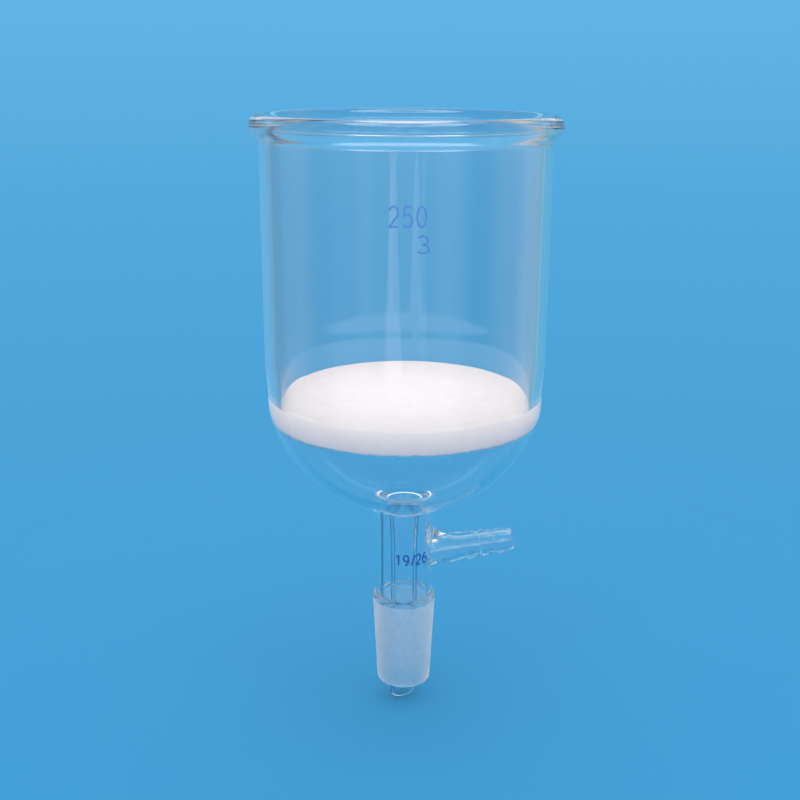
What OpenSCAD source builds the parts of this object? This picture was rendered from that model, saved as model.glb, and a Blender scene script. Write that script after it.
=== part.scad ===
// Fritted glass filter funnel: a beaded borosilicate bowl with a sintered glass disc
// sealed across it, a round dome below, a jacketed stem with a drip tube and a vacuum
// arm, and a standard taper ground joint. Millimetres, +Z up. The origin is on the
// axis, at the large end of the ground cone. The vacuum arm points along +X.

/* [Bowl] */
// Outside diameter of the bowl tube
bowl_od = 80; // [70:0.5:100]
// Wall of the bowl tube
bowl_wall = 3.5; // [2.5:0.1:4.5]
// Depth of the bowl, from the disc to the top of the rim
bowl_depth = 78; // [50:1:160]
// Thickness of the rounded bead at the rim
bead_d = 6.2; // [5.6:0.1:9]
// Radius of the fillet under the bead
bead_fillet = 1.6; // [0.8:0.1:2.5]

/* [Disc] */
// Height of the underside of the disc above the large end of the ground cone
disc_z = 59; // [57:0.5:80]
// Thickness of the sintered disc
disc_t = 7; // [4:0.5:9]
// Rounding of the upper edge of the disc
disc_edge = 1; // [0.3:0.1:1.5]
// How far the tube of the bowl is drawn in where it is sealed round the disc
seal_step = 0.6; // [0.3:0.1:1.2]
// Height over which the bowl tube narrows to the seal
seal_h = 12; // [8:0.5:20]

/* [Dome] */
// Height of the dome outside, from the top of the disc to the ring seal
dome_h = 35.4; // [33:0.2:42]
// Depth below the top of the disc at which the upright wall starts to turn in
knuckle_drop = 3; // [0:0.5:4]
// Outside radius of the knuckle between the upright wall and the round of the dome
knuckle_r = 8; // [6:0.5:14]
// Wall of the dome
dome_wall = 2.5; // [2:0.1:3]
// Radius of the inside flare from the dome into the drip tube
flare_r = 8; // [7:0.5:10]

/* [Stem] */
// Outside diameter of the stem tube
stem_od = 17; // [15:0.5:18]
// Wall of the stem tube
stem_wall = 1.6; // [1.2:0.1:2]
// Radius of the ring seal fillet between the stem and the dome
ring_fillet = 2; // [1:0.1:3]
// Outside diameter of the drip tube
drip_od = 7.8; // [6.5:0.1:8.2]
// Wall of the drip tube
drip_wall = 0.9; // [0.8:0.1:1.3]
// Length of the drip tube below the large end of the ground cone, on the axis
drip_reach = 32; // [30:0.5:60]
// Slope of the bevelled end of the drip tube, in degrees
drip_bevel = 14; // [0:1:30]

/* [Ground joint] */
// Diameter of the large end of the ground cone
cone_d = 18.8; // [18:0.1:21]
// Length of the ground zone
cone_l = 26; // [20:0.5:28]
// Change of diameter of the cone per millimetre of length
cone_taper = 0.1; // [0.08:0.01:0.12]
// Height of the plain collar above the ground zone
collar_h = 1.2; // [0.8:0.1:3]
// Wall of the cone at its small end
cone_wall = 1.7; // [1.4:0.1:2]

/* [Vacuum arm] */
// Height at which the axis of the arm meets the axis of the stem
arm_z = 14.5; // [13:0.5:16]
// Upward tilt of the arm, in degrees
arm_tilt = 9; // [0:1:15]
// Diameter of the arm where it leaves the stem
arm_root_d = 9.4; // [8.8:0.1:10]
// Diameter of the arm just before the first ridge
arm_neck_d = 7.9; // [7.4:0.1:8.6]
// Distance from the axis of the stem to the first ridge
ridge_start = 19.6; // [18:0.1:24]
// Number of ridges on the hose connection
ridge_n = 3; // [2:1:5]
// Distance from one ridge to the next
ridge_pitch = 4.4; // [3.5:0.1:6]
// Diameter of the first ridge
ridge_d = 8.8; // [8.6:0.1:10]
// Loss of diameter from one ridge to the next
ridge_drop = 0.5; // [0.2:0.05:0.6]
// Height of a ridge above the valley that follows it
ridge_h = 0.5; // [0.3:0.05:0.6]
// Bore of the hose connection
hose_bore = 4.6; // [3.6:0.1:5]
// Bore of the arm beside the stem
arm_bore = 6.2; // [5:0.1:6.8]

/* [Hidden] */
$fn = 120;

// Radii and heights that follow from the sizes above
bowl_r = bowl_od / 2;
bore_r = bowl_r - bowl_wall;
seal_r = bowl_r - seal_step;
seat_r = bore_r - seal_step;
disc_top = disc_z + disc_t;
rim_z = disc_top + bowl_depth;
bead_r = bead_d / 2;
bead_z = rim_z - bead_r;
// The dome is two tangent arcs: the knuckle, and the crown below it
knuckle_x = seal_r - knuckle_r;
knuckle_z = disc_top - knuckle_drop;
knuckle_h = dome_h - knuckle_drop;
crown_r = (pow(knuckle_x, 2) + pow(knuckle_h, 2) - pow(knuckle_r, 2)) / (2 * (knuckle_h - knuckle_r));
crown_z = disc_top - dome_h + crown_r;
crown_in_r = crown_r - dome_wall;
stem_r = stem_od / 2;
stem_in_r = stem_r - stem_wall;
drip_r = drip_od / 2;
drip_in_r = drip_r - drip_wall;
cone_r = cone_d / 2;
cone_end_r = cone_r - cone_taper * cone_l / 2;
collar_r = cone_r + cone_taper * collar_h / 2;
lip_r = cone_wall / 2;
// Centre of the flare: it touches the drip bore and the inside of the dome
flare_x = drip_in_r + flare_r;
flare_z = crown_z - sqrt(pow(crown_in_r + flare_r, 2) - pow(flare_x, 2));
step_z = disc_top + seal_h;
// Radius of the rounded top of the collar, and of the fillet above it
collar_round = 1.1;
// Fillet where the arm leaves the stem: its radius above and below the arm, its radius
// beside the arm, and how far its centre is drawn in so that it cuts the stem cleanly
root_fillet = 3.5;
side_fillet = 3;
root_sink = 0.2;
// End of the fillet along X, and the height of the axis of the arm there
root_x = stem_r + root_fillet - root_sink;
root_z = arm_z + root_x * tan(arm_tilt);
// Distance from the axis of the stem to the mouth of the arm
arm_end = ridge_start + ridge_n * ridge_pitch + 0.4;
mouth_r = (ridge_d - (ridge_n - 1) * ridge_drop) / 2 - ridge_h;
mouth_lip = (mouth_r - hose_bore / 2) / 2;
// Length over which one ridge rises, and the flat along its crest
ridge_rise = 0.9;
ridge_crest = 0.5;
// Overlap that keeps joined outlines from only touching, and how far an arc stands past
// the faces that it blends so that it cuts them cleanly
lap = 0.5;
blend = 0.02;
// How far the knuckle is set down so that its arc crosses that of the crown
dip = 0.1;

// Concave fillet between the upright line x = line_r and a circle, below the circle
module fillet_under(line_r, centre, circle_r, fillet_r) {
    fx = line_r + fillet_r - blend;
    reach = circle_r + fillet_r - blend;
    fz = centre[1] - sqrt(pow(reach, 2) - pow(fx - centre[0], 2));
    inner = (circle_r - lap) / reach;
    px = centre[0] + (fx - centre[0]) * inner;
    pz = centre[1] + (fz - centre[1]) * inner;
    difference() {
        polygon([[line_r - lap, fz], [fx, fz], [px, pz], [line_r - lap, pz]]);
        translate([fx, fz]) circle(fillet_r);
    }
}

// Half outline of the outside of the bowl, from the seal up to the beaded rim
module bowl_outline() {
    polygon([[0, disc_top], [seal_r, disc_top], [bowl_r, step_z], [0, step_z]]);
    translate([0, step_z]) square([bowl_r, bead_z - step_z]);
    translate([bore_r + bead_r, bead_z]) circle(bead_r);
    fillet_under(bowl_r, [bore_r + bead_r, bead_z], bead_r, bead_fillet);
}

// Half outline of the dome below the upright wall, lying inward by inset
module dome_arcs(inset) {
    far = 2 * crown_r;
    intersection() {
        translate([0, crown_z]) circle(crown_r - inset);
        union() {
            translate([knuckle_x, knuckle_z - dip]) intersection() {
                circle(knuckle_r - inset);
                translate([0, -knuckle_r]) square(knuckle_r);
            }
            polygon([[0, crown_z], [2 * knuckle_x, 2 * knuckle_z - crown_z],
                     [far, crown_z - far], [0, crown_z - far]]);
        }
    }
}

// Half outline of the outside of the dome and of the ring seal below it
module dome_outline() {
    translate([0, knuckle_z - dip]) square([seal_r, knuckle_drop + dip]);
    dome_arcs(0);
    fillet_under(stem_r, [0, crown_z], crown_r, ring_fillet);
}

// Half outline of the outside of the stem, with the ground cone and the drip tube
module stem_outline() {
    square([stem_r, crown_z - crown_in_r]);
    square([collar_r - collar_round, collar_h + collar_round]);
    translate([collar_r - collar_round, collar_h]) circle(collar_round);
    polygon([[0, collar_h], [collar_r, collar_h], [cone_end_r, -cone_l], [0, -cone_l]]);
    translate([cone_end_r - lip_r, -cone_l]) circle(lip_r);
    translate([0, -drip_reach - drip_r]) square([drip_r, drip_reach + drip_r]);
}

// Half outline of the bowl, the seat of the disc, the dome and the drip bore
module bore_outline() {
    polygon([[0, disc_z], [seat_r, disc_z], [seat_r, disc_top], [bore_r, step_z],
             [bore_r, bead_z], [0, bead_z]]);
    intersection() {
        dome_arcs(dome_wall);
        square([seat_r, disc_z]);
    }
    fillet_under(drip_in_r, [0, crown_z], crown_in_r, flare_r);
    bore_low = -drip_reach - 2 * drip_r;
    translate([0, bore_low]) square([drip_in_r, crown_z - crown_in_r + lap - bore_low]);
}

// Half outline of the jacket between the stem and the drip tube, closed by the underside
// of the dome and open at the bottom
module jacket_outline() {
    below = cone_l + 2 * lip_r;
    polygon([[drip_r, flare_z], [stem_in_r, flare_z], [stem_in_r, 0],
             [cone_end_r - cone_wall, -cone_l], [cone_end_r - cone_wall, -below],
             [drip_r, -below]]);
    difference() {
        intersection() {
            translate([drip_r, flare_z]) square([stem_in_r - drip_r, flare_r]);
            translate([flare_x, flare_z]) circle(flare_r - drip_wall + blend);
        }
        translate([0, crown_z]) circle(crown_r);
    }
}

// Crest radius of ridge i, and the place of its crest along the arm
function crest_r(i) = (ridge_d - i * ridge_drop) / 2;
function crest_s(i) = ridge_start + i * ridge_pitch;

// Half outline of the arm: tapered tube and ridged hose connection
module arm_outline() {
    inner_s = (stem_in_r + drip_r) / 2;
    polygon([[0, inner_s], [arm_root_d / 2, inner_s], [arm_root_d / 2, root_x],
             [arm_neck_d / 2, ridge_start - ridge_rise], [0, ridge_start - ridge_rise]]);
    for (i = [0 : ridge_n - 1]) {
        first = i == 0 ? arm_neck_d / 2 : crest_r(i - 1) - ridge_h;
        last_s = i == ridge_n - 1 ? arm_end - mouth_lip : crest_s(i + 1) - ridge_rise;
        polygon([[0, crest_s(i) - ridge_rise], [first, crest_s(i) - ridge_rise],
                 [crest_r(i), crest_s(i) - ridge_crest / 2],
                 [crest_r(i), crest_s(i) + ridge_crest / 2],
                 [crest_r(i) - ridge_h, last_s], [0, last_s]]);
    }
    translate([mouth_r - mouth_lip, arm_end - mouth_lip]) circle(mouth_lip);
}

// Half outline of the bore of the arm, from the jacket out through the mouth
module arm_bore_outline() {
    inner_s = (stem_in_r + drip_r) / 2;
    narrow_s = ridge_start - 2;
    polygon([[0, inner_s], [arm_bore / 2, inner_s], [arm_bore / 2, narrow_s - 4],
             [hose_bore / 2, narrow_s], [hose_bore / 2, arm_end + 1], [0, arm_end + 1]]);
}

// Plan of the fillets on the two sides of the arm
module root_plan() {
    half = arm_root_d / 2;
    reach = stem_r + side_fillet - root_sink;
    cy = half + side_fillet - blend;
    cx = sqrt(pow(reach, 2) - pow(cy, 2));
    inner = (stem_r - 2 * lap) / reach;
    translate([0, -half]) square([root_x, arm_root_d]);
    for (side = [-1, 1])
        difference() {
            polygon([[0, 0], [cx, 0], [cx, side * cy], [cx * inner, side * cy * inner]]);
            translate([cx, side * cy]) circle(side_fillet);
        }
}

// Fillet between the stem and the arm
module arm_root() {
    root_r = arm_root_d / 2 + root_fillet;
    intersection() {
        translate([0, 0, root_z]) rotate([0, 90, 0]) rotate_extrude()
            difference() {
                square([root_r, root_x]);
                translate([root_r, root_x]) circle(root_fillet);
            }
        translate([0, 0, root_z - root_r]) linear_extrude(2 * root_r) root_plan();
    }
}

// Turns an arm outline about the tilted axis of the arm
module on_arm() {
    translate([0, 0, arm_z]) rotate([0, 90 - arm_tilt, 0]) rotate_extrude() children();
}

// Half space below the bevelled end of the drip tube, longest on the side away from the arm
module bevel_cut() {
    span = 2 * drip_od;
    translate([0, 0, -drip_reach]) rotate([0, -drip_bevel, 0])
        translate([-span, -span, -span]) cube([2 * span, 2 * span, span]);
}

// The one-piece glass body
module funnel_body() {
    color([0.85, 0.93, 0.97, 0.45]) difference() {
        union() {
            rotate_extrude() {
                bowl_outline();
                dome_outline();
                stem_outline();
            }
            arm_root();
            on_arm() arm_outline();
        }
        rotate_extrude() bore_outline();
        rotate_extrude() jacket_outline();
        on_arm() arm_bore_outline();
        bevel_cut();
    }
}

// The sintered glass disc, sealed across the bowl with its upper edge slightly rounded
module fritted_disc() {
    color([0.96, 0.95, 0.96]) rotate_extrude() {
        translate([0, disc_z]) square([seat_r, disc_t - disc_edge]);
        translate([0, disc_z]) square([seat_r - disc_edge, disc_t]);
        translate([seat_r - disc_edge, disc_top - disc_edge]) circle(disc_edge);
    }
}

funnel_body();
fritted_disc();
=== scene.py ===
"""Looks of a fritted glass filter funnel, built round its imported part.

The glass is one closed surface turned round the axis, with the vacuum arm blended into
the stem. The sintered disc lies in optical contact with it. Lengths are in metres, +Z is
up, the origin is at the large end of the ground cone and the arm points along +X.
"""

import math

import bpy
import numpy as np
from bpy.props import FloatProperty, FloatVectorProperty, PointerProperty, StringProperty
from mathutils import Matrix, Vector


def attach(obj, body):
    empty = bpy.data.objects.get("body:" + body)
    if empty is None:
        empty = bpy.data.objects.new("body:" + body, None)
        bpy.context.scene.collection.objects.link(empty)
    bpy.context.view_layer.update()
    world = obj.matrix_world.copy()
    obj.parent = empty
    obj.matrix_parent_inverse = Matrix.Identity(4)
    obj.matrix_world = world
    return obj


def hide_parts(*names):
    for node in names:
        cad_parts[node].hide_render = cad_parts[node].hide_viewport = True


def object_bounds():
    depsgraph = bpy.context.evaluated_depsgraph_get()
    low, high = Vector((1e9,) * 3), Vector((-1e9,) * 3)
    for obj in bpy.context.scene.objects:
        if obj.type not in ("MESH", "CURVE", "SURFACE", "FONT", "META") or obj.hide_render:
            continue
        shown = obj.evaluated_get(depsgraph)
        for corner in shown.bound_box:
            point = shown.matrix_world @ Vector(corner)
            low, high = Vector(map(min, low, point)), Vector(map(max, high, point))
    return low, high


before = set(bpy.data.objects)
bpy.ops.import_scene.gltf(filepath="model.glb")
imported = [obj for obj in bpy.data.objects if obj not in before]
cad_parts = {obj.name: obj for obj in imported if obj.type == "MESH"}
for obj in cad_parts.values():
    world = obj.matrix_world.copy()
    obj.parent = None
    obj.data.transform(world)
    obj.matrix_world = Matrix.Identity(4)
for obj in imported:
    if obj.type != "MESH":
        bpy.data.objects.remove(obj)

bl_info = {
    "name": "Fritted filter funnel",
    "version": (1, 0, 0),
    "blender": (4, 5, 0),
    "location": "View3D > Sidebar > Funnel",
    "description": "Builds the glass, the sintered disc, the printed figures and the stage",
    "category": "Object",
}

CAD_BOX = [list(corner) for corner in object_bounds()]
MM = 0.001
COLUMNS = 160  # columns round the axis
WINDOW_HALF = 24  # columns on each side of the arm that its window takes
WINDOW_ROWS = 42  # rows of the stem's outline that a window takes
RIDGES = 3  # ridges of the hose connection
GLASS_IOR = 1.474  # borosilicate glass


def size(name, millimetres, text):
    """A length property whose default is given in millimetres."""
    return FloatProperty(
        name=name, description=text, default=millimetres * MM, unit="LENGTH", precision=5
    )


def colour(name, value, text):
    """A colour property in linear values."""
    return FloatVectorProperty(
        name=name, description=text, default=value, subtype="COLOR", size=3, min=0, max=1
    )


class GlassSizes(bpy.types.PropertyGroup):
    """Sizes of the one-piece glass body."""

    bowl_radius: size("Bowl radius", 40, "Outside radius of the bowl tube")
    bore_radius: size("Bore radius", 36.5, "Inside radius of the bowl tube")
    draw_in: size("Draw-in", 0.6, "How far the tube is drawn in round the disc")
    rim_height: size("Rim height", 144, "Height of the top of the rim")
    bead_radius: size("Bead radius", 3.1, "Radius of the rounded bead at the rim")
    bead_fillet: size("Bead fillet", 1.6, "Radius of the fillet under the bead")
    disc_bottom: size("Disc bottom", 59, "Height of the underside of the disc")
    disc_top: size("Disc top", 66, "Height of the top of the disc")
    step_height: size("Step height", 12, "Height over which the bowl narrows to the seal")
    dome_height: size("Dome height", 35.4, "Height of the dome from the disc's top down")
    knuckle_drop: size("Knuckle drop", 3, "Depth at which the upright wall turns in")
    knuckle_radius: size("Knuckle radius", 8, "Radius of the turn from wall to dome")
    dome_wall: size("Dome wall", 2.5, "Wall of the dome")
    flare_radius: size("Flare radius", 8, "Radius of the flare into the drip tube")
    stem_radius: size("Stem radius", 8.5, "Outside radius of the stem tube")
    stem_wall: size("Stem wall", 1.6, "Wall of the stem tube")
    ring_fillet: size("Ring seal fillet", 2, "Radius between the stem and the dome")
    cap_radius: size("Jacket top radius", 0.9, "Radius of the closed top of the jacket")
    drip_radius: size("Drip tube radius", 3.9, "Outside radius of the drip tube")
    drip_wall: size("Drip tube wall", 0.9, "Wall of the drip tube")
    drip_swell: size("Drip tube swelling", 0.4, "Gain of its radius just under the dome")
    drip_reach: size("Drip tube reach", 32, "Length of the drip tube below the origin")
    cone_radius: size("Cone radius", 9.4, "Radius of the large end of the ground cone")
    cone_length: size("Cone length", 26, "Length of the ground zone")
    cone_wall: size("Cone wall", 1.7, "Wall of the cone at its small end")
    collar_height: size("Collar height", 1.2, "Height of the collar above the ground zone")
    collar_round: size("Collar rounding", 1.1, "Radius of the rounded top of the collar")
    taper: FloatProperty(
        name="Taper", description="Change of diameter per unit of length", default=0.1
    )
    bevel: FloatProperty(
        name="Drip bevel",
        description="Slope of the end of the drip tube",
        default=math.radians(14),
        subtype="ANGLE",
    )


class ArmSizes(bpy.types.PropertyGroup):
    """Sizes of the vacuum arm and its ridged hose connection."""

    height: size("Arm height", 14.5, "Height at which the arm's axis meets the stem's")
    tilt: FloatProperty(
        name="Arm tilt", description="Upward tilt", default=math.radians(9), subtype="ANGLE"
    )
    root_radius: size("Root radius", 4.7, "Radius of the arm beside the stem")
    neck_radius: size("Neck radius", 3.95, "Radius of the arm before the first ridge")
    neck_end: size("Neck end", 18.7, "Distance along the arm at which the ridges start")
    ridge_radius: size("Ridge radius", 4.4, "Radius of the first ridge")
    ridge_drop: size("Ridge drop", 0.25, "Loss of radius from one ridge to the next")
    ridge_height: size("Ridge height", 0.95, "Height of a ridge above its valley")
    ridge_pitch: size("Ridge pitch", 4.4, "Distance from one ridge to the next")
    mouth: size("Mouth", 33.2, "Distance along the arm of its mouth")
    hose_bore: size("Hose bore radius", 2.3, "Radius of the bore of the hose connection")
    arm_bore: size("Arm bore radius", 3.1, "Radius of the bore beside the stem")
    foot_side: size("Foot beside", 5.3, "Half width of the fillet's foot on the stem")
    foot_tall: size("Foot height", 7.4, "Half height of the fillet's foot on the stem")
    foot_rise: size("Foot centre", 17.2, "Height of the middle of the fillet's foot")


class FritSizes(bpy.types.PropertyGroup):
    """Sizes of the sintered disc."""

    contact: size("Contact", 0.05, "How far the disc reaches into the glass wall")
    edge: size("Upper edge", 1.0, "Rounding of the upper edge")
    ragged: size("Ragged edge", 1.3, "Unevenness of the lower edge")


class Finishes(bpy.types.PropertyGroup):
    """Colours of the glass, the disc, the print and the stage."""

    frit: colour("Sintered glass", (0.89, 0.85, 0.885), "Colour of the sintered disc")
    bowl_ink: colour("Bowl print", (0.036, 0.155, 0.44), "Colour of the print on the bowl")
    stem_ink: colour("Stem print", (0.008, 0.045, 0.30), "Colour of the print on the stem")
    backdrop_near: colour("Backdrop below", (0.046, 0.320, 0.632), "Colour low in the view")
    backdrop_far: colour("Backdrop above", (0.128, 0.468, 0.795), "Colour at the horizon")
    bowl_figures: StringProperty(
        name="Bowl figures", description="Figures printed on the bowl", default="250"
    )
    grade_figure: StringProperty(
        name="Grade figure", description="Figure printed under them", default="3"
    )
    joint_figures: StringProperty(
        name="Joint figures", description="Figures printed on the stem", default="19/26"
    )


# --- outlines -------------------------------------------------------------------------


def arc(centre, radius, start, stop, count):
    """Circle: centre plus radius times cosine and sine of evenly spaced angles, degrees."""
    a = np.radians(np.linspace(start, stop, count))
    return np.c_[centre[0] + radius * np.cos(a), centre[1] + radius * np.sin(a)]


def run(start, stop, count):
    """Evenly spaced points strictly between two points: start plus a share of the way."""
    k = np.linspace(0, 1, count + 2)[1:-1, None]
    return (1 - k) * np.asarray(start) + k * np.asarray(stop)


def bearing(start, stop):
    """Angle in degrees of the line from one point to another."""
    return math.degrees(math.atan2(stop[1] - start[1], stop[0] - start[0]))


def ease(k):
    """Smooth step: three times k squared less twice k cubed, with k kept in 0 to 1."""
    k = np.clip(k, 0, 1)
    return k * k * (3 - 2 * k)


def glass_outline(g):
    """Closed outline of the glass in the plane of radius and height, as tangent arcs and
    lines, and the first rows of the outer and the inner window for the arm."""
    bead = (g.bore_radius + g.bead_radius, g.rim_height - g.bead_radius)
    fx = g.bowl_radius + g.bead_fillet
    reach = g.bead_radius + g.bead_fillet
    under = (fx, bead[1] - math.sqrt(reach**2 - (fx - bead[0]) ** 2))
    turn = bearing(bead, under)

    step_top = g.disc_top + g.step_height
    k = np.linspace(0, 1, 9)
    drawn = np.c_[g.draw_in * ease(k), g.step_height * k]
    step = np.array([g.bowl_radius, step_top]) - drawn
    seat = (np.array([g.bore_radius, step_top]) - drawn)[::-1]
    seal_radius = g.bowl_radius - g.draw_in
    seat_r = g.bore_radius - g.draw_in
    knuckle = (seal_radius - g.knuckle_radius, g.disc_top - g.knuckle_drop)
    fall = g.dome_height - g.knuckle_drop
    crown_r = (knuckle[0] ** 2 + fall**2 - g.knuckle_radius**2) / (
        2 * (fall - g.knuckle_radius)
    )
    crown = (0.0, g.disc_top - g.dome_height + crown_r)
    ring_x = g.stem_radius + g.ring_fillet
    ring_reach = crown_r + g.ring_fillet
    ring = (ring_x, crown[1] - math.sqrt(ring_reach**2 - ring_x**2))

    collar_r = g.cone_radius + g.taper * g.collar_height / 2
    collar = (collar_r - g.collar_round, g.collar_height)
    blend_r = 0.7 * MM
    bx = g.stem_radius + blend_r
    blend_reach = g.collar_round + blend_r
    above = (bx, collar[1] + math.sqrt(blend_reach**2 - (bx - collar[0]) ** 2))
    end_r = g.cone_radius - g.taper * g.cone_length / 2
    lip_r = g.cone_wall / 2
    lip = (end_r - lip_r, -g.cone_length)

    stem_in = g.stem_radius - g.stem_wall
    drip_in = g.drip_radius - g.drip_wall
    flare_x = drip_in + g.drip_swell + g.flare_radius
    dome_in = crown_r - g.dome_wall
    flare = (flare_x, crown[1] - math.sqrt((dome_in + g.flare_radius) ** 2 - flare_x**2))
    jacket_r = g.flare_radius - g.drip_wall
    cx = stem_in - g.cap_radius
    cap = (cx, flare[1] + math.sqrt((jacket_r - g.cap_radius) ** 2 - (flare_x - cx) ** 2))
    tip_r = g.drip_wall / 2
    tip = (drip_in + tip_r, tip_r - g.drip_reach)
    seat_z = crown[1] - math.sqrt(dome_in**2 - seat_r**2)
    swell_from, swell_over = 18 * MM, 7 * MM

    def drip_line(radius):
        """Line of the drip tube from its lip up to the flare, swelling near the top."""
        z = np.linspace(tip[1], flare[1], 26)[:-1]
        swell = g.drip_swell * ease((z - swell_from) / swell_over)
        return np.c_[radius + swell, z]

    # heights of the windows in the outside and the inside of the stem
    out_top, out_low = 27 * MM, 5 * MM
    in_low, in_top = 8.5 * MM, 23.5 * MM
    count = WINDOW_ROWS + 1
    outer_rows = np.linspace((g.stem_radius, out_top), (g.stem_radius, out_low), count)
    inner_rows = np.linspace((stem_in, in_low), (stem_in, in_top), count)

    before_outer = [
        arc(bead, g.bead_radius, 180, turn, 44),
        arc(under, g.bead_fillet, 180 + turn, 180, 9)[1:],
        run((g.bowl_radius, under[1]), (g.bowl_radius, step_top), 12),
        step,
        run((seal_radius, g.disc_top), (seal_radius, knuckle[1]), 1),
        arc(knuckle, g.knuckle_radius, 0, bearing(crown, knuckle), 5),
        arc(crown, crown_r, bearing(crown, knuckle), bearing(crown, ring), 44)[1:],
        arc(ring, g.ring_fillet, bearing(ring, crown), 180, 11)[1:],
        run((g.stem_radius, ring[1]), (g.stem_radius, out_top), 2),
    ]
    before_inner = [
        outer_rows,
        run((g.stem_radius, out_low), (g.stem_radius, above[1]), 2),
        arc(above, blend_r, 180, 180 + bearing(collar, above), 6),
        arc(collar, g.collar_round, bearing(collar, above), 0, 9)[1:],
        run((collar_r, g.collar_height), (g.cone_radius, 0), 1),
        run((g.cone_radius, 0), (end_r, -g.cone_length), 14),
        arc(lip, lip_r, 0, -180, 13),
        run((lip[0] - lip_r, lip[1]), (stem_in, 0), 6),
        run((stem_in, 0), (stem_in, in_low), 3),
    ]
    rest = [
        inner_rows,
        run((stem_in, in_top), (stem_in, cap[1]), 2),
        arc(cap, g.cap_radius, 0, bearing(flare, cap), 12),
        arc(flare, jacket_r, bearing(flare, cap), 180, 12)[1:],
        drip_line(g.drip_radius)[:0:-1],
        arc(tip, tip_r, 0, -180, 11),
        drip_line(drip_in)[1:],
        arc(flare, g.flare_radius, 180, bearing(flare, crown), 26),
        arc(crown, dome_in, bearing(crown, flare), bearing(crown, (seat_r, seat_z)), 40)[1:],
        run((seat_r, seat_z), (seat_r, g.disc_top), 4),
        seat,
        run(seat[-1], (g.bore_radius, bead[1]), 12),
    ]
    first = sum(len(part) for part in before_outer)
    second = first + sum(len(part) for part in before_inner)
    return np.vstack(before_outer + before_inner + rest), first, second


def arm_slope(a):
    """Loss of radius per unit of length along the arm, from its root to its neck."""
    return (a.root_radius - a.neck_radius) / (a.neck_end - 12 * MM)


def arm_outline(a):
    """Distance along the arm and radius of its outside, mouth and bore: straight pieces
    between ridges, smoothed by a bell curve, then a half circle and the bore."""
    lead = 4 * MM  # plain tube before the first ridge
    rise = 0.9 * MM  # from a valley up to the middle of a crest
    crest_before, crest_after = 0.35 * MM, 0.25 * MM
    step, spread, margin = 0.05 * MM, 0.08 * MM, 2 * MM  # of the bell curve
    bore_end, widening = 17.6 * MM, 4 * MM
    slope = arm_slope(a)
    s = [a.neck_end - lead, a.neck_end]
    r = [a.neck_radius + lead * slope, a.neck_radius]
    for i in range(RIDGES):
        crest = a.neck_end + rise + i * a.ridge_pitch
        high = a.ridge_radius - i * a.ridge_drop
        stop = crest - rise + a.ridge_pitch if i < RIDGES - 1 else a.mouth
        s += [crest - crest_before, crest + crest_after, stop]
        r += [high, high, high - a.ridge_height]
    fine = np.arange(s[0] - margin, s[-1] + margin, step)
    bell = np.exp(-0.5 * (np.arange(-20, 21) * step / spread) ** 2)
    flat = np.interp(fine, s, r)
    flat[fine < s[0]] += (s[0] - fine[fine < s[0]]) * slope
    soft = np.convolve(flat, bell / bell.sum(), "same")
    lip_r = (r[-1] - a.hose_bore) / 2
    lip_s = a.mouth - lip_r
    along = np.linspace(a.neck_end - 1.3 * MM, lip_s, 100)
    outside = np.c_[along, np.interp(along, fine, soft)]
    lip = arc((lip_s, a.hose_bore + lip_r), lip_r, 90, -90, 10)[1:]
    lip[0, 1] = min(lip[0, 1], outside[-1, 1])
    k = np.linspace(0, 1, 9)
    widen = np.c_[
        bore_end - widening * k, a.hose_bore + (a.arm_bore - a.hose_bore) * ease(k)
    ]
    return np.vstack([outside, lip, run(lip[-1], widen[0], 9), widen])


# --- meshes ---------------------------------------------------------------------------


def make_mesh(name, points, quads, triangles=None):
    """Puts whole arrays of corners into a smooth mesh whose unused points are dropped."""
    faces = [np.asarray(quads).reshape(-1, 4)]
    if triangles is not None:
        faces.append(np.asarray(triangles).reshape(-1, 3))
    corners = np.concatenate([f.ravel() for f in faces])
    used, corners = np.unique(corners, return_inverse=True)
    totals = np.concatenate([np.full(len(f), f.shape[1]) for f in faces])
    mesh = bpy.data.meshes.new(name)
    mesh.vertices.add(len(used))
    mesh.vertices.foreach_set("co", points[used].astype(np.float32).ravel())
    mesh.loops.add(len(corners))
    mesh.loops.foreach_set("vertex_index", corners.astype(np.int32).ravel())
    mesh.polygons.add(len(totals))
    starts = np.concatenate([[0], np.cumsum(totals)[:-1]])
    mesh.polygons.foreach_set("loop_start", starts.astype(np.int32))
    mesh.update(calc_edges=True)
    mesh.validate()
    mesh.shade_smooth()
    return mesh


def make_piece(name, mesh, *materials):
    """Links a mesh as a piece that rides on the one body of the part."""
    piece = bpy.data.objects.new(name, mesh)
    bpy.context.scene.collection.objects.link(piece)
    for material in materials:
        mesh.materials.append(material)
    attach(piece, "root")
    return piece


def grid_quads(rows, columns, closed):
    """Corner numbers of a grid that closes round its columns, and round its rows too if
    closed: each square joins a point, the one below, its right neighbour and the one above."""
    p = np.arange(rows if closed else rows - 1)[:, None]
    t = np.arange(columns)[None]
    q = (p + 1) % rows
    u = (t + 1) % columns
    return np.stack(
        [p * columns + t, q * columns + t, q * columns + u, p * columns + u], axis=-1
    )


def fan(centre, first, columns):
    """Triangles from a centre to each two neighbours of the ring that starts at first."""
    t = np.arange(columns)
    return np.c_[np.full(columns, centre), first + t, first + (t + 1) % columns]


def turned(outline, columns):
    """Surface of revolution: radius times cosine and sine of the column's angle, height."""
    angle = 2 * np.pi * np.arange(columns) / columns
    r, z = outline[:, :1], outline[:, 1:]
    return np.stack([r * np.cos(angle), r * np.sin(angle), z + 0 * angle], axis=-1)


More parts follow.
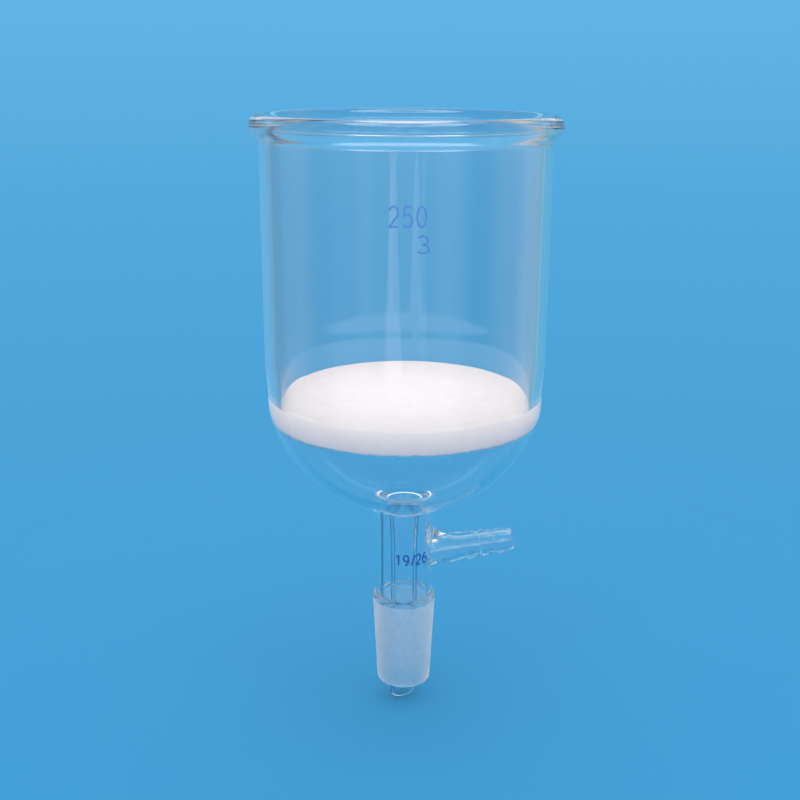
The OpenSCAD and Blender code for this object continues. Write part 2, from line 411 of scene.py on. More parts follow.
def window_rim(rows_low_to_high):
    """Numbers of the grid points round a window, anticlockwise as seen from outside."""
    rows = rows_low_to_high * COLUMNS
    cols = np.arange(-WINDOW_HALF, WINDOW_HALF + 1) % COLUMNS
    return np.concatenate(
        [
            rows[0] + cols[:-1],
            rows[:-1] + cols[-1],
            rows[-1] + cols[:0:-1],
            rows[:0:-1] + cols[0],
        ]
    )


def hermite(p0, t0, p1, t1, shares):
    """Cubic curve between two points with given end directions, whose strength is 1.12
    times the distance, at each share of the way."""
    reach = 1.12 * np.linalg.norm(p1 - p0, axis=-1, keepdims=True)
    k = np.asarray(shares)[:, None, None]
    return (
        (2 * k**3 - 3 * k**2 + 1) * p0
        + (k**3 - 2 * k**2 + k) * t0 * reach
        + (-2 * k**3 + 3 * k**2) * p1
        + (k**3 - k**2) * t1 * reach
    )


def unit(v):
    """Vectors divided by their length."""
    return v / np.linalg.norm(v, axis=-1, keepdims=True)


def on_tube(radius, angle, height):
    """Point of an upright tube: radius times cosine and sine of the angle, and height."""
    return np.stack([radius * np.cos(angle), radius * np.sin(angle), height], axis=-1)


def arm_rings(g, a, outer_rim, inner_rim):
    """Rings of points from the window in the stem's outside, along the tube wall to the
    foot of the fillet, over the fillet, along the arm, through its mouth and back down its
    bore to the window in the stem's inside."""
    count = len(outer_rim)
    half_share = math.pi * 2 * WINDOW_HALF / count
    phi = -(math.pi / 2 + half_share) + 2 * math.pi * np.arange(count) / count
    cos, sin = np.cos(phi), np.sin(phi)
    axis = np.array([math.cos(a.tilt), 0, math.sin(a.tilt)])
    up = np.array([-math.sin(a.tilt), 0, math.cos(a.tilt)])
    root = np.array([0, 0, a.height])
    stem_in = g.stem_radius - g.stem_wall

    def ring(s, r):
        """Circle round the tilted axis: the point at s, and r times the two cross axes."""
        s = np.broadcast_to(s, phi.shape)[:, None]
        side = cos[:, None] * np.array([0, 1, 0]) + sin[:, None] * up
        return root + s * axis + r * side

    def slide(rim, radius, foot_angle, foot_z, steps):
        """Points on the tube wall part of the way from the rim to the foot."""
        angle = np.arctan2(rim[:, 1], rim[:, 0])
        k = np.linspace(0, 1, steps + 2)[1:-1, None]
        return on_tube(
            radius, (1 - k) * angle + k * foot_angle, (1 - k) * rim[:, 2] + k * foot_z
        )

    def inward(radius, foot_angle, foot_z, middle_z):
        """Direction on the tube wall from the foot towards the middle of the hole."""
        east = np.stack([-np.sin(foot_angle), np.cos(foot_angle), 0 * foot_angle], axis=-1)
        v = -radius * foot_angle[:, None] * east
        v[:, 2] += middle_z - foot_z
        return unit(v)

    outline, slope = arm_outline(a), arm_slope(a)
    foot_angle = np.arcsin(a.foot_side / g.stem_radius * cos)
    foot_z = a.foot_rise + a.foot_tall * sin
    # the fillet ends nearer the stem at its sides than at its top and bottom
    throat_near, throat_more = 10.8 * MM, 4.6 * MM
    throat_s = throat_near + throat_more * sin**2
    throat_r = (a.neck_radius + slope * (a.neck_end - throat_s))[:, None]
    throat = ring(throat_s, throat_r)
    foot = on_tube(g.stem_radius, foot_angle, foot_z)
    rings = [*slide(outer_rim, g.stem_radius, foot_angle, foot_z, 6)]
    rings += [
        *hermite(
            foot,
            inward(g.stem_radius, foot_angle, foot_z, a.foot_rise),
            throat,
            np.broadcast_to(axis, throat.shape),
            np.linspace(0, 1, 17),
        )
    ]
    for share in np.linspace(0, 1, 8)[1:-1]:
        s = throat_s + (outline[0, 0] - throat_s) * share
        rings.append(ring(s, (a.neck_radius + slope * (a.neck_end - s))[:, None]))
    rings += [ring(s, r) for s, r in outline]

    lean = a.arm_bore * sin * math.sin(a.tilt)
    wall_s = (np.sqrt(stem_in**2 - (a.arm_bore * cos) ** 2) + lean) / math.cos(a.tilt)
    wall_z = a.height + wall_s * math.sin(a.tilt) + a.arm_bore * sin * math.cos(a.tilt)
    soft = 1.4 * MM  # rounding of the edge of the bore in the stem
    start_s = wall_s + soft
    for share in np.linspace(0, 1, 7)[1:-1]:
        rings.append(ring(outline[-1, 0] + (start_s - outline[-1, 0]) * share, a.arm_bore))
    in_angle = np.arcsin((a.arm_bore + soft) / stem_in * cos)
    in_z = wall_z + soft * sin
    outward = -inward(stem_in, in_angle, in_z, wall_z.mean())
    start = ring(start_s, a.arm_bore)
    rings += [
        *hermite(
            start,
            np.broadcast_to(-axis, start.shape),
            on_tube(stem_in, in_angle, in_z),
            outward,
            np.linspace(0, 1, 9),
        )
    ]
    rings += [*slide(inner_rim, stem_in, in_angle, in_z, 6)][::-1]
    return np.array(rings)


def glass_mesh(g, a):
    """The turned outline with two windows in the stem, joined by the rings of the arm."""
    outline, first, second = glass_outline(g)
    grid = turned(outline, COLUMNS)
    # the end of the drip tube leans: height rises by x times the slope of the bevel
    lean_from, lean_over, margin = -20 * MM, 11 * MM, 0.1 * MM
    near_tip = ease((lean_from - grid[..., 2]) / lean_over)
    inside = np.hypot(grid[..., 0], grid[..., 1]) < g.drip_radius + margin
    grid[..., 2] += near_tip * inside * grid[..., 0] * math.tan(g.bevel)
    points = grid.reshape(-1, 3)

    rows = np.arange(WINDOW_ROWS + 1)
    outer = window_rim(first + rows[::-1])
    inner = window_rim(second + rows)
    rings = arm_rings(g, a, points[outer], points[inner])
    count = len(outer)
    start = len(points)
    points = np.vstack([points, rings.reshape(-1, 3)])
    numbers = np.vstack(
        [outer, start + np.arange(rings.shape[0] * count).reshape(-1, count), inner]
    )
    nxt = np.roll(numbers, -1, axis=1)
    arm = np.stack([numbers[:-1], nxt[:-1], nxt[1:], numbers[1:]], axis=-1)

    quads = grid_quads(len(outline), COLUMNS, closed=True)
    keep = np.ones(quads.shape[:2], bool)
    cols = np.arange(-WINDOW_HALF, WINDOW_HALF) % COLUMNS
    for top in (first, second):
        keep[top + rows[:-1, None], cols] = False
    return make_mesh("glass_body", points, np.vstack([quads[keep], arm.reshape(-1, 4)]))


def uneven(angle, seed, waves, strength):
    """Sum of cosines of whole numbers of waves round the disc, with set random phases."""
    draw = np.random.default_rng(seed)
    total = np.zeros_like(angle)
    for wave in waves:
        height = draw.normal()
        phase = draw.uniform(0, 2 * math.pi)
        total += height * np.cos(wave * angle + phase) / wave**0.4
    return strength * total / math.sqrt(len(waves))


def frit_mesh(g, f):
    """Disc turned round the axis: flat top, rounding, side in the wall, and a lower edge
    whose height wanders round the disc."""
    radius = g.bore_radius - g.draw_in + f.contact
    low_r, middle, flat = 0.5 * MM, 2 * MM, 8
    edge_reach, edge_fade = 2.5 * MM, 2 * MM  # of the uneven zone, up and inward
    outline = np.vstack(
        [
            np.c_[np.linspace(middle, radius - f.edge, flat), np.full(flat, g.disc_top)],
            arc((radius - f.edge, g.disc_top - f.edge), f.edge, 90, 0, 7)[1:],
            run((radius, g.disc_top - f.edge), (radius, g.disc_bottom + low_r), 6),
            arc((radius - low_r, g.disc_bottom + low_r), low_r, 0, -90, 6),
            np.c_[
                np.linspace(radius - 2 * low_r, middle, flat), np.full(flat, g.disc_bottom)
            ],
        ]
    )
    columns = 6 * COLUMNS  # more than two for the shortest wave of the lower edge
    grid = turned(outline, columns)
    angle = 2 * np.pi * np.arange(columns) / columns
    wander = uneven(angle, seed=11, waves=range(5, 420, 7), strength=f.ragged)
    low = ease((g.disc_bottom + edge_reach - outline[:, 1]) / edge_fade)
    low *= ease((outline[:, 0] - (radius - edge_reach)) / edge_fade)
    grid[..., 2] += low[:, None] * wander
    points = np.vstack([grid.reshape(-1, 3), [[0, 0, g.disc_top], [0, 0, g.disc_bottom]]])
    top, bottom = len(points) - 2, len(points) - 1
    last = (len(outline) - 1) * columns
    caps = np.vstack([fan(top, 0, columns), fan(bottom, last, columns)[:, ::-1]])
    return make_mesh("sintered_disc", points, grid_quads(len(outline), columns, False), caps)


# --- printed figures ------------------------------------------------------------------


def glyph_line(figure):
    """Centre line of a figure in a box 0.6 wide and 1 high, as one curve of the plane."""

    def bow(cx, cy, rx, ry, start, stop):
        """Ellipse: centre plus each half axis times the cosine and sine of the angle."""
        t = np.radians(np.linspace(start, stop, 28))
        return np.c_[cx + rx * np.cos(t), cy + ry * np.sin(t)]

    def bar(*corners):
        """Straight lines from corner to corner."""
        corners = np.array(corners, float)
        sides = [
            np.linspace(p, q, 8, endpoint=False) for p, q in zip(corners, corners[1:])
        ]
        return np.vstack([*sides, corners[-1:]])

    parts = {
        "0": [bow(0.3, 0.5, 0.24, 0.44, 90, 450)],
        "1": [bar((0.12, 0.78), (0.34, 0.94), (0.34, 0.06))],
        "2": [
            bow(0.3, 0.68, 0.24, 0.26, 165, -38),
            bar((0.44, 0.46), (0.06, 0.06), (0.56, 0.06)),
        ],
        "3": [bow(0.28, 0.72, 0.22, 0.22, 150, -90), bow(0.28, 0.28, 0.26, 0.22, 90, -150)],
        "5": [
            bar((0.52, 0.94), (0.14, 0.94), (0.09, 0.53)),
            bow(0.28, 0.33, 0.26, 0.27, 130, -140),
        ],
        "6": [bow(0.48, 0.48, 0.42, 0.46, 100, 180), bow(0.3, 0.32, 0.24, 0.26, 180, 540)],
        "9": [bow(0.12, 0.52, 0.42, 0.46, -80, 0), bow(0.3, 0.68, 0.24, 0.26, 0, 360)],
        "/": [bar((0.08, 0.0), (0.42, 1.0))],
    }
    return np.vstack(parts[figure])


def figure_mesh(name, text, radius, height, tall, wide, turn, stroke):
    """Ribbons along the lines of the figures, laid on a tube: across is arc length over
    the radius, up is height. Each ribbon is the line plus and less half the stroke along
    its normal, with the ends rounded by narrowing, and lies just proud of the glass."""
    proud, blunt = 0.02 * MM, 0.25
    advance = {"/": 0.48}  # widths from one figure to the next, 0.76 for the others
    points, quads = [], []
    start, pen = 0, 0.0
    for figure in text:
        line = glyph_line(figure) * np.array([wide, 1.0]) * tall
        line[:, 0] += pen
        along = unit(np.gradient(line, axis=0))
        normal = np.c_[-along[:, 1], along[:, 0]]
        steps = np.linalg.norm(np.diff(line, axis=0), axis=1)
        travelled = np.concatenate([[0], np.cumsum(steps)])
        ends = np.minimum(travelled, travelled[-1] - travelled) / (stroke / 2)
        narrow = np.sqrt(1 - (1 - np.clip(ends, 0, 1)) ** 2)
        closed = np.linalg.norm(line[0] - line[-1]) < stroke / 4
        narrow = np.ones_like(narrow) if closed else np.maximum(narrow, blunt)
        across = np.linspace(-0.5, 0.5, 4) * stroke
        offset = across[None, :, None] * narrow[:, None, None]
        flat = line[:, None] + normal[:, None] * offset
        angle = turn + flat[..., 0] / radius
        points.append(on_tube(radius + proud, angle, flat[..., 1]).reshape(-1, 3))
        n, m = flat.shape[:2]
        i = np.arange(n - 1)[:, None] * m + np.arange(m - 1)[None]
        cells = np.stack([i + 1, i + m + 1, i + m, i], axis=-1)
        quads.append(start + cells.reshape(-1, 4))
        start += n * m
        pen += tall * wide * advance.get(figure, 0.76)
    points = np.vstack(points)
    points[:, 2] += height
    return make_mesh(name, points, np.vstack(quads))


# --- shader nodes ---------------------------------------------------------------------


def feed(tree, socket, value):
    """Links a socket to an output, or sets it to a plain value."""
    if isinstance(value, bpy.types.NodeSocket):
        tree.links.new(value, socket)
    else:
        socket.default_value = value


def calculate(tree, operation, *values):
    """Output of a Math node of that operation, fed by outputs or plain numbers."""
    node = tree.nodes.new("ShaderNodeMath")
    node.operation = operation
    for socket, value in zip(node.inputs, values):
        feed(tree, socket, value)
    return node.outputs[0]


def map_range(tree, value, start, stop):
    """Smooth step of a value, 0 at the start and 1 at the stop."""
    node = tree.nodes.new("ShaderNodeMapRange")
    node.interpolation_type = "SMOOTHSTEP"
    node.inputs["From Min"].default_value = start
    node.inputs["From Max"].default_value = stop
    tree.links.new(value, node.inputs["Value"])
    return node.outputs["Result"]


def ramp(tree, value, stops):
    """Colour ramp over a value, from pairs of a position and a linear colour."""
    node = tree.nodes.new("ShaderNodeValToRGB")
    elements = node.color_ramp.elements
    while len(elements) < len(stops):
        elements.new(0.5)
    for element, (place, tint) in zip(elements, stops):
        element.position = place
        element.color = (*tint, 1)
    tree.links.new(value, node.inputs[0])
    return node.outputs["Color"]


def mix_colours(tree, share, first, second, blend="MIX"):
    """Two colours mixed by a share, each of the three an output or a plain value."""
    node = tree.nodes.new("ShaderNodeMix")
    node.data_type, node.blend_type = "RGBA", blend
    for name, value in (("Factor", share), ("A", first), ("B", second)):
        feed(tree, node.inputs[name], value)
    return node.outputs["Result"]


def coordinates(tree, kind):
    """The three numbers of a texture coordinate."""
    place, apart = tree.nodes.new("ShaderNodeTexCoord"), tree.nodes.new("ShaderNodeSeparateXYZ")
    tree.links.new(place.outputs[kind], apart.inputs[0])
    return apart.outputs


# --- materials ------------------------------------------------------------------------


def new_material(name, values):
    """A material, its node tree, and its Principled shader with the given values."""
    material = bpy.data.materials.new(name)
    material.use_nodes = True
    shader = material.node_tree.nodes["Principled BSDF"]
    for key, value in values.items():
        shader.inputs[key].default_value = value
    return material, material.node_tree, shader


def grain_group():
    """Node group, made once, that turns Object coordinates into a fine grain: two noises
    mixed, given as a height for a bump, and the coarse one as a mask for colour."""
    group = bpy.data.node_groups.get("fine_grain")
    if group:
        return group
    group = bpy.data.node_groups.new("fine_grain", "ShaderNodeTree")
    for name, default in (("Scale", 1.0), ("Coarse Share", 0.3)):
        socket = group.interface.new_socket(name, in_out="INPUT", socket_type="NodeSocketFloat")
        socket.default_value = default
    for name in ("Height", "Mask"):
        group.interface.new_socket(name, in_out="OUTPUT", socket_type="NodeSocketFloat")
    nodes, links = group.nodes, group.links
    entry, leave = nodes.new("NodeGroupInput"), nodes.new("NodeGroupOutput")
    place = nodes.new("ShaderNodeTexCoord")
    fine, coarse = nodes.new("ShaderNodeTexNoise"), nodes.new("ShaderNodeTexNoise")
    coarse_scale = calculate(group, "MULTIPLY", entry.outputs["Scale"], 0.12)
    fine.inputs["Detail"].default_value = 3
    coarse.inputs["Detail"].default_value = 2
    mix = nodes.new("ShaderNodeMix")
    links.new(place.outputs["Object"], fine.inputs["Vector"])
    links.new(place.outputs["Object"], coarse.inputs["Vector"])
    links.new(entry.outputs["Scale"], fine.inputs["Scale"])
    links.new(coarse_scale, coarse.inputs["Scale"])
    links.new(entry.outputs["Coarse Share"], mix.inputs["Factor"])
    links.new(fine.outputs["Fac"], mix.inputs["A"])
    links.new(coarse.outputs["Fac"], mix.inputs["B"])
    links.new(mix.outputs["Result"], leave.inputs["Height"])
    links.new(coarse.outputs["Fac"], leave.inputs["Mask"])
    return group


def add_grain(tree, shader, group, scale, coarse_share, strength, depth):
    """Puts the grain group in a material and feeds its height, over a depth given in
    millimetres, to the shader's normal."""
    grain = tree.nodes.new("ShaderNodeGroup")
    grain.node_tree = group
    grain.inputs["Scale"].default_value = scale
    grain.inputs["Coarse Share"].default_value = coarse_share
    bump = tree.nodes.new("ShaderNodeBump")
    bump.inputs["Strength"].default_value = strength
    bump.inputs["Distance"].default_value = depth * MM
    tree.links.new(grain.outputs["Height"], bump.inputs["Height"])
    tree.links.new(bump.outputs["Normal"], shader.inputs["Normal"])
    return grain


def grain_colour(tree, grain, low, high):
    """Colour that runs from low to high with the grain's mask."""
    return ramp(tree, grain.outputs["Mask"], ((0.3, low), (0.7, high)))


def clear_glass_material(group):
    """Clear borosilicate glass, very slightly wavy. Painted shade: the glass of the narrow tubes
    is coloured dark where they are seen edge on, away from the arm, which draws dark lines in
    their walls."""
    material, tree, shader = new_material(
        "clear_borosilicate",
        {"Roughness": 0.0, "IOR": GLASS_IOR, "Transmission Weight": 1.0},
    )
    x, y, z = coordinates(tree, "Object")
    squares = [calculate(tree, "MULTIPLY", axis, axis) for axis in (x, y)]
    radius = calculate(tree, "SQRT", calculate(tree, "ADD", *squares))
    # painted shade: near the narrow tubes, away from the arm, and where they are seen edge on,
    # the base colour runs from clear to near black
    weight = tree.nodes.new("ShaderNodeLayerWeight")
    weight.inputs["Blend"].default_value = 0.5
    share = map_range(tree, radius, 7.6 * MM, 7.2 * MM)
    for value, none, full in (
        (z, 32 * MM, 27 * MM),
        (x, 5.6 * MM, 4.2 * MM),
        (weight.outputs["Facing"], 0.5, 0.78),
    ):
        share = calculate(tree, "MULTIPLY", share, map_range(tree, value, none, full))
    tint = ramp(tree, share, ((0.0, (0.985, 0.995, 1.0)), (1.0, (0.03, 0.04, 0.10))))
    feed(tree, shader.inputs["Base Color"], tint)
    add_grain(tree, shader, group, scale=160, coarse_share=0.6, strength=0.05, depth=0.05)
    return material


def ground_glass_material(group):
    """Frosted surface of the ground cone: rough glass that also scatters."""
    material, tree, shader = new_material(
        "ground_glass",
        {"Roughness": 0.5, "IOR": GLASS_IOR, "Transmission Weight": 0.89}
        | {"Sheen Weight": 0.3, "Sheen Roughness": 0.3},
    )
    grain = add_grain(
        tree, shader, group, scale=6000, coarse_share=0.3, strength=0.4, depth=0.03
    )
    tint = grain_colour(tree, grain, (0.84, 0.86, 0.88), (1.0, 1.0, 1.0))
    feed(tree, shader.inputs["Base Color"], tint)
    return material


def sintered_glass_material(group, g, tint):
    """White sintered glass with a fine open grain, and painted shade that turns its side bluish
    grey towards the bottom.
    """
    material, tree, shader = new_material(
        "sintered_glass", {"Roughness": 0.9, "Specular IOR Level": 0.25}
    )
    grain = add_grain(
        tree, shader, group, scale=2600, coarse_share=0.35, strength=0.35, depth=0.06
    )
    white = grain_colour(tree, grain, [0.96 * c for c in tint], tint)
    depth = g.disc_top - g.disc_bottom
    z = coordinates(tree, "Object")[2]
    height = calculate(tree, "MULTIPLY_ADD", z, 1 / depth, -g.disc_bottom / depth)
    # painted shade: the colour runs from white at the top of the disc down to bluish grey at its
    # underside
    fall = ramp(tree, height, ((0.0, (0.58, 0.64, 0.72)), (1.0, (1.0, 1.0, 1.0))))
    white_with_painted_shade = mix_colours(tree, 1.0, white, fall, "MULTIPLY")
    feed(tree, shader.inputs["Base Color"], white_with_painted_shade)
    return material


def ink_material(name, tint, group):
    """Fired enamel print, slightly uneven."""
    material, tree, shader = new_material(name, {"Roughness": 0.45})
    grain = add_grain(
        tree, shader, group, scale=3000, coarse_share=0.5, strength=0.1, depth=0.01
    )
    uneven_tint = grain_colour(tree, grain, [0.85 * c for c in tint], tint)
    feed(tree, shader.inputs["Base Color"], uneven_tint)
    return material


# --- stage ----------------------------------------------------------------------------

# what a reflected ray meets, by its share of a turn: 0 behind the camera, 0.25 at -X,
# 0.5 beyond the funnel, 0.75 at +X
PANELS = (
    (0.000, (0.34, 0.33, 0.34)),
    (0.060, (0.26, 0.26, 0.28)),
    (0.090, (0.42, 0.43, 0.45)),
    (0.150, (0.34, 0.35, 0.37)),
    (0.190, (0.04, 0.02, 0.03)),
    (0.230, (0.04, 0.02, 0.03)),
    (0.262, (0.30, 0.29, 0.30)),
    (0.300, (0.30, 0.30, 0.32)),
    (0.340, (0.12, 0.14, 0.20)),
    (0.385, (0.15, 0.40, 0.64)),
    (0.425, (0.14, 0.44, 0.74)),
    (0.455, (0.14, 0.46, 0.76)),
    (0.550, (0.10, 0.42, 0.70)),
    (0.590, (0.12, 0.42, 0.68)),
    (0.606, (0.22, 0.48, 0.68)),
    (0.618, (0.12, 0.40, 0.62)),
    (0.660, (0.45, 0.44, 0.44)),
    (0.700, (0.65, 0.60, 0.57)),
    (0.750, (0.40, 0.38, 0.37)),
    (0.800, (0.20, 0.20, 0.22)),
    (0.850, (0.12, 0.12, 0.14)),
    (0.900, (0.40, 0.41, 0.43)),
    (0.940, (0.26, 0.26, 0.28)),
    (1.000, (0.34, 0.33, 0.34)),
)
CEILING = ((0.0, (0.42, 0.45, 0.48)), (1.0, (0.50, 0.52, 0.54)))
# windows and lamps: middle and half width of the turn, level and half height of the ray,
# softness of the sides, light
LAMPS = (
    (0.027, 0.015, -0.155, 0.095, 0.005, (0.75, 0.70, 0.62)),
    (0.962, 0.006, -0.14, 0.10, 0.006, (0.30, 0.30, 0.31)),
    (0.000, 0.130, 0.24, 0.035, 0.060, (5.5, 5.5, 5.7)),
    (0.500, 0.060, 0.30, 0.04, 0.040, (0.5, 0.5, 0.5)),
    (0.500, 0.900, 0.95, 0.03, 0.020, (3.4, 3.4, 3.4)),
)
# light that falls on a surface, from straight below, 0, to straight above, 1
SKY = (
    (0.10, (1.00, 1.00, 1.00)),
    (0.42, (1.90, 1.85, 1.80)),
    (0.50, (2.30, 2.26, 2.20)),
    (0.68, (2.30, 2.28, 2.25)),
    (0.82, (1.30, 1.30, 1.30)),
)


def add_lamp(tree, base, turn, z, middle, half, level, tall, soft, light):
    """Adds a lamp to a colour: its light times a soft box round the middle turn and a soft
    box round the level of the ray, each 1 inside its half width and 0 beyond the edge. The
    turn's box narrows upward where the lamp hangs below the horizon."""
    apart = calculate(tree, "WRAP", calculate(tree, "SUBTRACT", turn, middle), 0.5, -0.5)
    aside = calculate(tree, "ABSOLUTE", apart)
    if level < 0:
        narrow = calculate(tree, "MULTIPLY_ADD", z, -4.5, -0.1)
        aside = calculate(tree, "DIVIDE", aside, calculate(tree, "MAXIMUM", narrow, 0.05))
    above = calculate(tree, "ABSOLUTE", calculate(tree, "SUBTRACT", z, level))
    boxes = [
        map_range(tree, distance, inner + edge, inner)
        for distance, inner, edge in ((aside, half, soft), (above, tall, 0.4 * tall))
    ]
    share = calculate(tree, "MULTIPLY", *boxes)
    return mix_colours(tree, share, base, (*light, 1), "ADD")


def make_world(scene, tints):
    """Studio round the funnel. Rays that see it straight or through glass meet the
    backdrop, whose colour runs with the height of the ray. Rays that have been reflected
    meet the panels, which give way to the ceiling higher up, with the lamps added. Rays
    that carry light to a surface meet the sky."""
    world = bpy.data.worlds.new("studio")
    scene.world = world
    world.use_nodes = True
    tree = world.node_tree
    x, y, z = coordinates(tree, "Generated")
    path = tree.nodes.new("ShaderNodeLightPath").outputs
    backdrop = ramp(tree, calculate(tree, "MULTIPLY_ADD", z, 1.25, 0.8), tints)
    compass = calculate(tree, "ARCTAN2", x, y)
    turn = calculate(tree, "MULTIPLY_ADD", compass, 0.5 / math.pi, 0.5)
    high = map_range(tree, z, 0.25, 0.8)
    around = mix_colours(tree, high, ramp(tree, turn, PANELS), ramp(tree, z, CEILING))
    for lamp in LAMPS:
        around = add_lamp(tree, around, turn, z, *lamp)
    reflected = calculate(tree, "MINIMUM", path["Glossy Depth"], 1.0)
    seen = mix_colours(tree, reflected, backdrop, around)
    sky = ramp(tree, calculate(tree, "MULTIPLY_ADD", z, 0.5, 0.5), SKY)
    direct = path["Is Camera Ray"]
    for kind in ("Is Glossy Ray", "Is Transmission Ray"):
        direct = calculate(tree, "MAXIMUM", direct, path[kind])
    undiffused = calculate(tree, "LESS_THAN", path["Diffuse Depth"], 0.5)
    share = calculate(tree, "MULTIPLY", direct, undiffused)
    background = tree.nodes["Background"]
    feed(tree, background.inputs["Color"], mix_colours(tree, share, sky, seen))


def make_floor(scene, tint):
    """Round floor under the tip, which keeps the shadow and thins out into the backdrop."""
    radius, middle, rows = 0.4, 0.01, 30
    fade_from, fade_to = 0.08, 0.36
    low = CAD_BOX[0][2] - 0.5 * MM
    grid = turned(np.c_[np.linspace(radius, middle, rows), np.full(rows, low)], COLUMNS)
    points = np.vstack([grid.reshape(-1, 3), [[0, 0, low]]])
    caps = fan(len(points) - 1, (rows - 1) * COLUMNS, COLUMNS)
    quads = grid_quads(rows, COLUMNS, False)[..., ::-1]
    floor = bpy.data.objects.new("floor", make_mesh("floor", points, quads, caps))
    scene.collection.objects.link(floor)
    material, tree, shader = new_material(
        "floor_paper", {"Base Color": tint, "Roughness": 0.9, "Specular IOR Level": 0.1}
    )
    place, away = tree.nodes.new("ShaderNodeTexCoord"), tree.nodes.new("ShaderNodeVectorMath")
    away.operation = "LENGTH"
    clear = tree.nodes.new("ShaderNodeBsdfTransparent")
    mix = tree.nodes.new("ShaderNodeMixShader")
    tree.links.new(place.outputs["Object"], away.inputs[0])
    fade = map_range(tree, away.outputs["Value"], fade_from, fade_to)
    tree.links.new(fade, mix.inputs[0])
    tree.links.new(shader.outputs[0], mix.inputs[1])
    tree.links.new(clear.outputs[0], mix.inputs[2])
    tree.links.new(mix.outputs[0], tree.nodes["Material Output"].inputs["Surface"])
    floor.data.materials.append(material)


def make_light(scene, name, place, aim, width, height, power):
    """Rectangular soft light that faces the funnel."""
    lamp = bpy.data.lights.new(name, "AREA")
    lamp.shape = "RECTANGLE"
    lamp.size, lamp.size_y, lamp.energy = width, height, power
    light = bpy.data.objects.new(name, lamp)
    scene.collection.objects.link(light)
    back = unit(np.array(place) - np.array(aim))
    right = unit(np.cross([0, 0, 1], back))
    axes = np.c_[right, np.cross(back, right), back]
    turn = np.eye(4)
    turn[:3, :3], turn[:3, 3] = axes, place
    light.matrix_world = Matrix(turn)
    # the glass reflects the panels and lamps of the world
    light.visible_glossy = False


def make_camera(scene):
    """Camera in front of the funnel, a little above it and looking slightly down."""
    lens, sensor, shift = 50.698, 36, -0.0061
    pitch, roll = math.radians(16.682), math.radians(0.301)
    place = (0, -313.99 * MM, 157.21 * MM)
    ahead = np.array([0, math.cos(pitch), -math.sin(pitch)])
    above = np.array([0, math.sin(pitch), math.cos(pitch)])
    right = math.cos(roll) * np.array([1, 0, 0]) + math.sin(roll) * above
    above = -math.sin(roll) * np.array([1, 0, 0]) + math.cos(roll) * above
    turn = np.eye(4)
    turn[:3, :3], turn[:3, 3] = np.c_[right, above, -ahead], place
    data = bpy.data.cameras.new("camera")
    data.lens, data.sensor_width, data.shift_x = lens, sensor, shift
    data.clip_start, data.clip_end = 0.01, 50
    camera = bpy.data.objects.new("camera", data)
    scene.collection.objects.link(camera)
    camera.matrix_world = Matrix(turn)
    scene.camera = camera


# --- operators ------------------------------------------------------------------------


class FUNNEL_OT_glass(bpy.types.Operator):
    """Build the one-piece glass body"""

    bl_idname = "funnel.glass"
    bl_label = "Glass body"

    def execute(self, context):
        g, a = context.scene.funnel_glass, context.scene.funnel_arm
        mesh, group = glass_mesh(g, a), grain_group()
        piece = make_piece(
            "glass_body", mesh, clear_glass_material(group), ground_glass_material(group)
        )
        centres = np.empty(len(mesh.polygons) * 3, np.float32)
        mesh.polygons.foreach_get("center", centres)
        centres = centres.reshape(-1, 3)
        # the ground zone is the cone's outside, down to just below its end
        skin, below = 0.35 * MM, 0.3 * MM
        away, height = np.hypot(centres[:, 0], centres[:, 1]), centres[:, 2]
        out = away > g.cone_radius + height * g.taper / 2 - skin
        ground = out & (height < 0) & (height > -g.cone_length - below)
        mesh.polygons.foreach_set("material_index", ground.astype(np.int32))
        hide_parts("funnel_body")
        return {"FINISHED"}


class FUNNEL_OT_disc(bpy.types.Operator):
    """Build the sintered disc"""

    bl_idname = "funnel.disc"
    bl_label = "Sintered disc"

    def execute(self, context):
        scene = context.scene
        material = sintered_glass_material(
            grain_group(), scene.funnel_glass, list(scene.funnel_finishes.frit)
        )
        piece = make_piece(
            "sintered_disc", frit_mesh(scene.funnel_glass, scene.funnel_frit), material
        )
        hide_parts("fritted_disc")
        return {"FINISHED"}


class FUNNEL_OT_figures(bpy.types.Operator):
    """Print the plain figures on the bowl and the stem"""

    bl_idname = "funnel.figures"
    bl_label = "Printed figures"

    def execute(self, context):
        scene = context.scene
        g, f = scene.funnel_glass, scene.funnel_finishes
        group = grain_group()
        bowl = ink_material("bowl_print", list(f.bowl_ink), group)
        stem = ink_material("stem_print", list(f.stem_ink), group)
        # lengths in millimetres, and wide as a factor
        for name, text, radius, height, tall, wide, across, stroke, ink in (
            ("figures_bowl", f.bowl_figures, g.bowl_radius, 118.55, 5.6, 0.80, -4.3, 0.52, bowl),
            ("figures_grade", f.grade_figure, g.bowl_radius, 112.2, 4.7, 1.22, 2.6, 0.52, bowl),
            ("figures_joint", f.joint_figures, g.stem_radius, 14.2, 3.65, 0.84, -2.65, 0.5, stem),
        ):
            turn = -math.pi / 2 + across * MM / radius
            mesh = figure_mesh(
                name, text, radius, height * MM, tall * MM, wide, turn, stroke * MM
            )
            make_piece(name, mesh, ink)
        return {"FINISHED"}


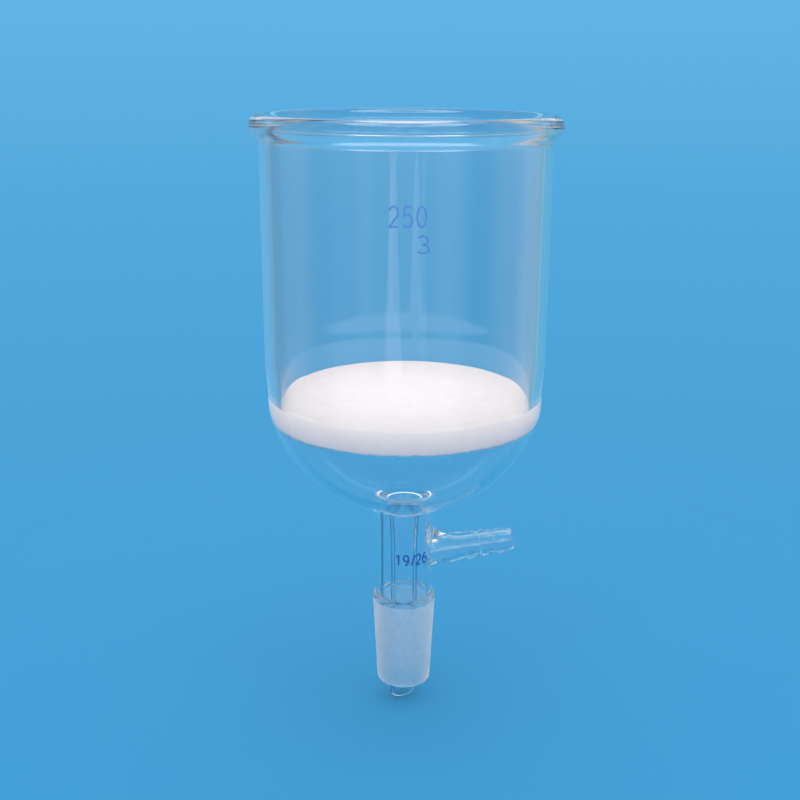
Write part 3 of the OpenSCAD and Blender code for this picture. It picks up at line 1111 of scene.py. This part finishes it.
class FUNNEL_OT_stage(bpy.types.Operator):
    """Set up the floor, the lights, the world and the camera"""

    bl_idname = "funnel.stage"
    bl_label = "Stage"

    def execute(self, context):
        scene = context.scene
        near, far = scene.funnel_finishes.backdrop_near, scene.funnel_finishes.backdrop_far
        between = [0.5 * (n + f) for n, f in zip(near, far)]
        floor_share = 0.70  # the paper's colour beside the backdrop's
        make_world(scene, ((0.1, near), (0.65, between), (0.9, far)))
        make_floor(scene, (*[floor_share * c for c in near], 1))
        for name, place, aim, width, height, power in (
            ("key_light", (-0.75, -0.75, 0.85), (0, 0, 0.06), 0.7, 0.9, 0.8),
            ("fill_light", (0.95, -0.45, 0.55), (0, 0, 0.06), 0.5, 0.9, 0.5),
            ("top_light", (0.05, 0.25, 1.15), (0, 0, 0.06), 0.8, 0.5, 0.4),
        ):
            make_light(scene, name, place, aim, width, height, power)
        make_camera(scene)
        # light passes many walls of glass, and is turned back in them, before it leaves
        scene.cycles.max_bounces = 32
        scene.cycles.glossy_bounces = 32
        scene.cycles.transmission_bounces = 32
        scene.view_settings.view_transform = "Standard"
        return {"FINISHED"}


class FUNNEL_PT_panel(bpy.types.Panel):
    """Panel that lists the parts of the funnel"""

    bl_idname = "FUNNEL_PT_panel"
    bl_label = "Filter funnel"
    bl_space_type = "VIEW_3D"
    bl_region_type = "UI"
    bl_category = "Funnel"

    def draw(self, context):
        for group in GROUPS:
            settings = getattr(context.scene, group)
            box = self.layout.box()
            for name in settings.bl_rna.properties.keys():
                if name not in {"rna_type", "name"}:
                    box.prop(settings, name)
        for operator in OPERATORS:
            self.layout.operator(operator.bl_idname)


GROUPS = {
    "funnel_glass": GlassSizes,
    "funnel_arm": ArmSizes,
    "funnel_frit": FritSizes,
    "funnel_finishes": Finishes,
}
OPERATORS = (FUNNEL_OT_glass, FUNNEL_OT_disc, FUNNEL_OT_figures, FUNNEL_OT_stage)


def register():
    """Adds the classes and the settings of the scene."""
    for cls in (*GROUPS.values(), *OPERATORS, FUNNEL_PT_panel):
        bpy.utils.register_class(cls)
    for name, cls in GROUPS.items():
        setattr(bpy.types.Scene, name, PointerProperty(type=cls))


def unregister():
    """Takes them away again."""
    for name in GROUPS:
        delattr(bpy.types.Scene, name)
    for cls in (FUNNEL_PT_panel, *reversed(OPERATORS), *GROUPS.values()):
        bpy.utils.unregister_class(cls)


def main():
    """Builds every piece in order."""
    register()
    bpy.ops.funnel.glass()
    bpy.ops.funnel.disc()
    bpy.ops.funnel.figures()
    bpy.ops.funnel.stage()


if __name__ == "__main__":
    main()
